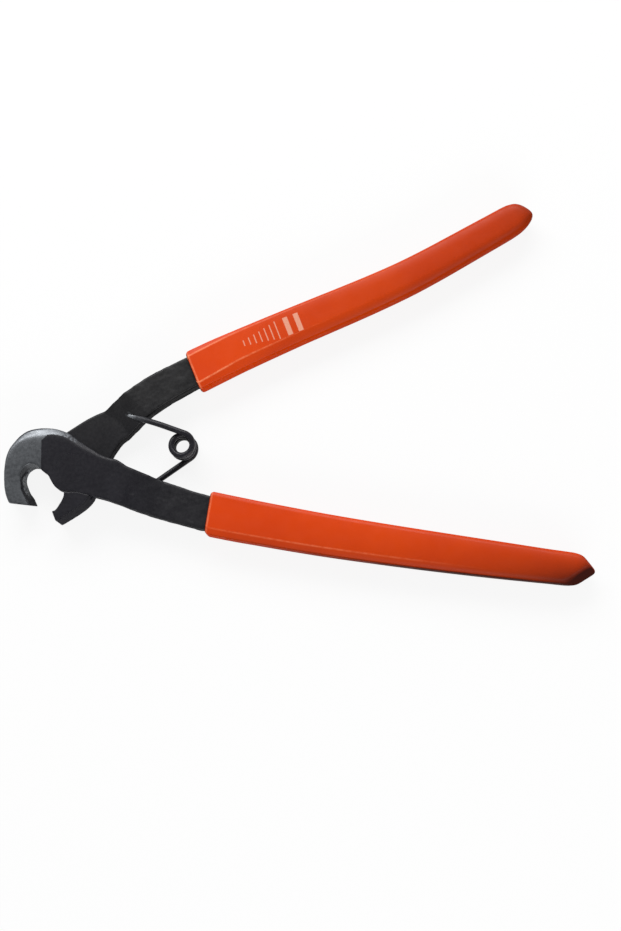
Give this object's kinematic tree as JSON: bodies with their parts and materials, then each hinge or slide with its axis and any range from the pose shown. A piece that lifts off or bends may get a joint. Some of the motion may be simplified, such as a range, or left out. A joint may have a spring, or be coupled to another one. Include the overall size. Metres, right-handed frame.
{
  "type": "tile nippers",
  "caption": "Hooked tile nippers: a curved jaw bites against a short anvil jaw, with a lap-jointed pivot, a torsion return spring and dipped handle grips.",
  "frame": {"origin": "on the pivot axis, at the plane that the tool rests on when it lies on the anvil lever's side", "axes": "+X from the pivot towards the handles, halfway between them in the open pose; +Z along the pivot, towards the hook lever's side; +Y to the side of the anvil lever's handle"},
  "size_m": [0.1905, 0.1317, 0.011],
  "materials": {
    "black_steel": "satin black finish over forged steel, with the hooked jaw ground to bare blue-grey steel",
    "rivet_steel": "ground flush and blackened with the levers",
    "spring_wire": "black spring wire, satin",
    "grip_vinyl": "glossy orange dipped vinyl"
  },
  "bodies": {
    "hook_side": {"hook_lever": "black_steel", "hook_grip": "grip_vinyl", "pivot_rivet": "rivet_steel", "torsion_spring": "spring_wire"},
    "anvil_side": {"anvil_lever": "black_steel", "anvil_grip": "grip_vinyl"}
  },
  "joints": [
    {"name": "handle_pivot", "type": "hinge", "parent": "hook_side", "child": "anvil_side", "pos_m": [0, 0, 0.0055], "axis": [0, 0, 1], "range_deg": [-31, 1], "stiffness_Nm_per_rad": 2, "deforming": ["torsion_spring"]}
  ]
}
